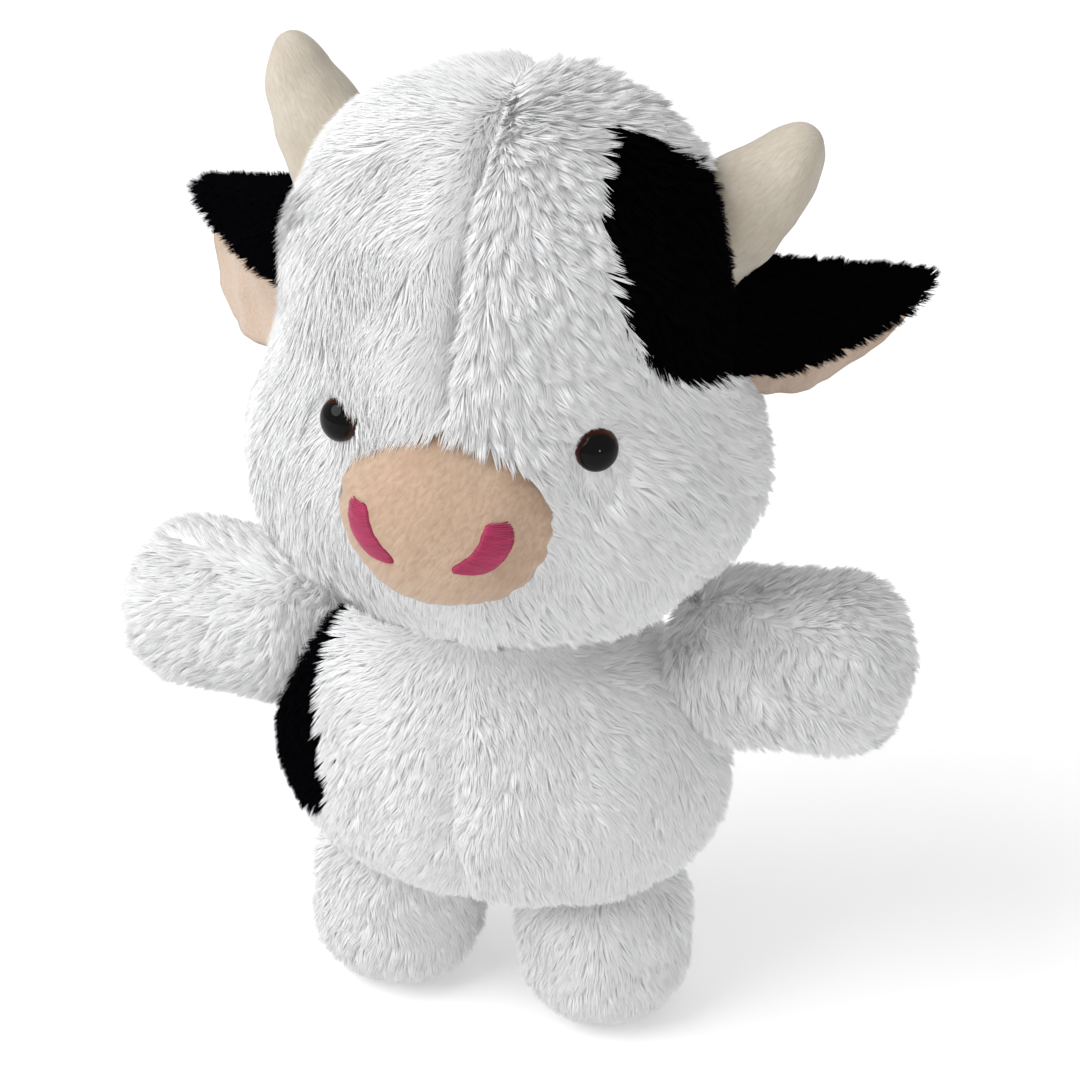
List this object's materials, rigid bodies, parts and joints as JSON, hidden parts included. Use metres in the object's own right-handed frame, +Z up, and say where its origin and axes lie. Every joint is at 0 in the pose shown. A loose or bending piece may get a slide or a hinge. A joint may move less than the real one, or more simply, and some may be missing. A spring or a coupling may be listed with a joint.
{
  "type": "plush cow",
  "caption": "Plush cow toy on two stub legs, sewn from pile panels over filling, with neck, ear, shoulder and hip seams that bend.",
  "frame": {"origin": "centre of the bounding box at the floor under the feet", "axes": "+Z up through the head; the cow looks along -Y, so its left side is +X"},
  "size_m": [0.2397, 0.1471, 0.2979],
  "materials": {
    "white_plush": "matte",
    "black_plush": "matte",
    "cream_minky": "matte",
    "beige_minky": "matte",
    "peach_satin": "satin",
    "magenta_thread": "satin",
    "fibre_filling": "matte",
    "eye_plastic": "gloss",
    "washer_plastic": "matte"
  },
  "bodies": {
    "body": {"body_front_left_panel": "white_plush", "body_front_right_panel": "white_plush", "body_back_panel": "white_plush", "body_black_patch": "black_plush", "body_filling": "fibre_filling"},
    "head": {"head_front_left_panel": "white_plush", "head_front_right_panel": "white_plush", "head_back_left_panel": "white_plush", "head_back_right_panel": "white_plush", "head_black_patch": "black_plush", "head_filling": "fibre_filling", "muzzle_cover": "beige_minky", "nostril_left": "magenta_thread", "nostril_right": "magenta_thread", "eye_left": "eye_plastic", "eye_right": "eye_plastic", "eye_washer_left": "washer_plastic", "eye_washer_right": "washer_plastic", "horn_left_cover": "cream_minky", "horn_left_filling": "fibre_filling", "horn_right_cover": "cream_minky", "horn_right_filling": "fibre_filling"},
    "ear_left": {"ear_left_outer": "black_plush", "ear_left_lining": "peach_satin"},
    "arm_left": {"arm_left_front_panel": "white_plush", "arm_left_back_panel": "white_plush", "arm_left_filling": "fibre_filling"},
    "leg_left": {"leg_left_front_panel": "white_plush", "leg_left_back_panel": "white_plush", "leg_left_filling": "fibre_filling"},
    "ear_right": {"ear_right_outer": "black_plush", "ear_right_lining": "peach_satin"},
    "arm_right": {"arm_right_front_panel": "white_plush", "arm_right_back_panel": "white_plush", "arm_right_filling": "fibre_filling"},
    "leg_right": {"leg_right_front_panel": "white_plush", "leg_right_back_panel": "white_plush", "leg_right_filling": "fibre_filling"}
  },
  "joints": [
    {"name": "neck", "type": "hinge", "parent": "body", "child": "head", "pos_m": [0.0001, 0.0101, 0.115], "axis": [1, 0, 0], "range_deg": [-12, 12], "stiffness_Nm_per_rad": 1.6},
    {"name": "ear_left_root", "type": "hinge", "parent": "head", "child": "ear_left", "pos_m": [0.0669, 0.02439, 0.22865], "axis": [-0.2076, -0.0109, 0.9781], "range_deg": [-20, 20], "stiffness_Nm_per_rad": 0.03},
    {"name": "shoulder_left", "type": "hinge", "parent": "body", "child": "arm_left", "pos_m": [0.0731, 0.0161, 0.126], "axis": [0, -1, 0], "range_deg": [-34, 20], "stiffness_Nm_per_rad": 0.25},
    {"name": "hip_left", "type": "hinge", "parent": "body", "child": "leg_left", "pos_m": [0.0336, 0.0081, 0.035], "axis": [-1, 0, 0], "range_deg": [-30, 45], "stiffness_Nm_per_rad": 0.8},
    {"name": "ear_right_root", "type": "hinge", "parent": "head", "child": "ear_right", "pos_m": [-0.0585, 0.01781, 0.23303], "axis": [-0.2753, -0.0144, -0.9613], "range_deg": [-20, 20], "stiffness_Nm_per_rad": 0.03},
    {"name": "shoulder_right", "type": "hinge", "parent": "body", "child": "arm_right", "pos_m": [-0.0729, 0.0161, 0.114], "axis": [0, 1, 0], "range_deg": [-24, 20], "stiffness_Nm_per_rad": 0.25},
    {"name": "hip_right", "type": "hinge", "parent": "body", "child": "leg_right", "pos_m": [-0.0334, 0.0081, 0.035], "axis": [-1, 0, 0], "range_deg": [-30, 45], "stiffness_Nm_per_rad": 0.8}
  ]
}
